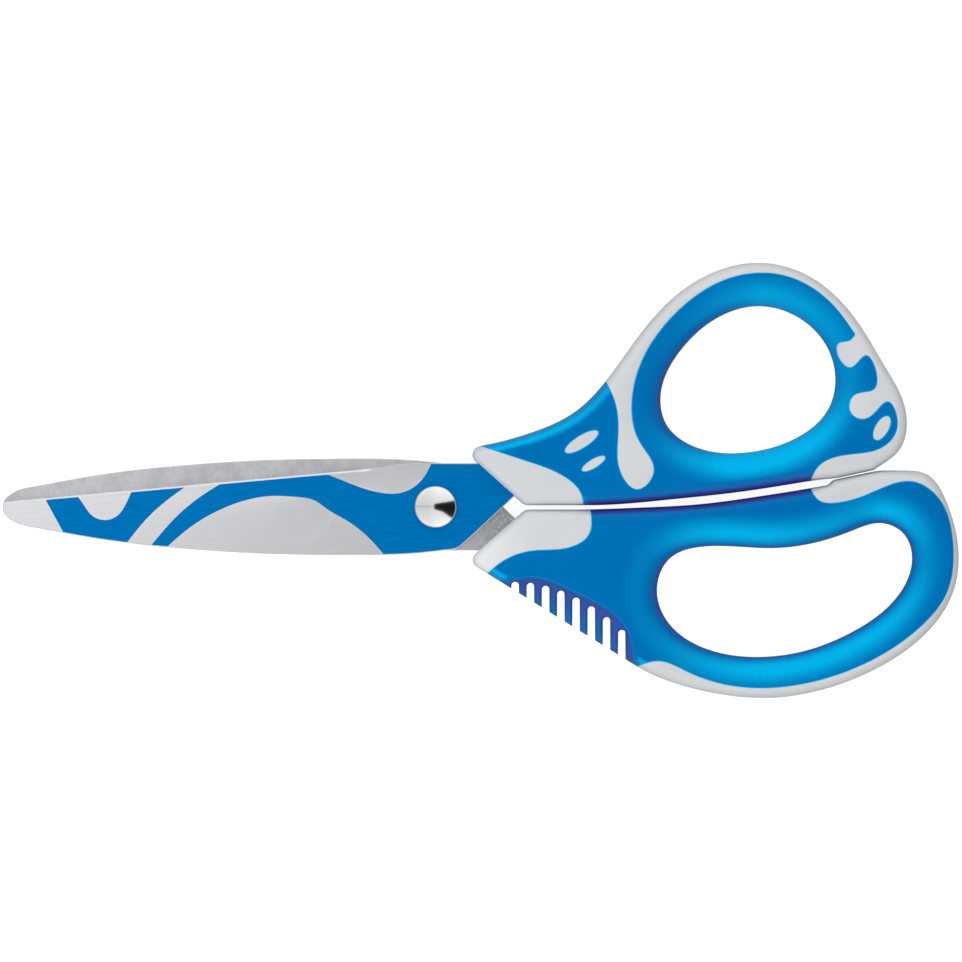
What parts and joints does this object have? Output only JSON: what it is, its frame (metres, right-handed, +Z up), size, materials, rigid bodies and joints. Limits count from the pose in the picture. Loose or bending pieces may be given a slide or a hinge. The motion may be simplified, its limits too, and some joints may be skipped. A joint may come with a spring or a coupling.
{
  "type": "office scissors",
  "caption": "Office scissors with pointed steel blades on a screw pivot, a small thumb loop and a long finger loop, and soft grips with a comb of slots.",
  "frame": {"origin": "middle of the closed scissors' box in plan, at the underside of the handles that they rest on", "axes": "+X from the tips to the handles, +Y towards the thumb handle, +Z up out of the printed side of the front blade"},
  "size_m": [0.2102, 0.0958, 0.011],
  "materials": {
    "blade_steel": "brushed along the blade",
    "hard_plastic": "satin white with a cool tint",
    "soft_grip": "smooth satin blue",
    "pivot_chrome": "polished",
    "pivot_steel": "turned, nickel plated"
  },
  "bodies": {
    "finger_half": {"back_blade": "blade_steel", "finger_handle_core": "hard_plastic", "finger_handle_grip": "soft_grip", "pivot_screw": "pivot_chrome", "spring_washer": "pivot_steel", "pivot_nut": "pivot_steel"},
    "thumb_half": {"front_blade": "blade_steel", "thumb_handle_core": "hard_plastic", "thumb_handle_grip": "soft_grip"}
  },
  "joints": [
    {"name": "blade_pivot", "type": "hinge", "parent": "finger_half", "child": "thumb_half", "pos_m": [-0.00995, -0.0058, 0.0055], "axis": [0, 0, 1], "range_deg": [0, 75]}
  ]
}
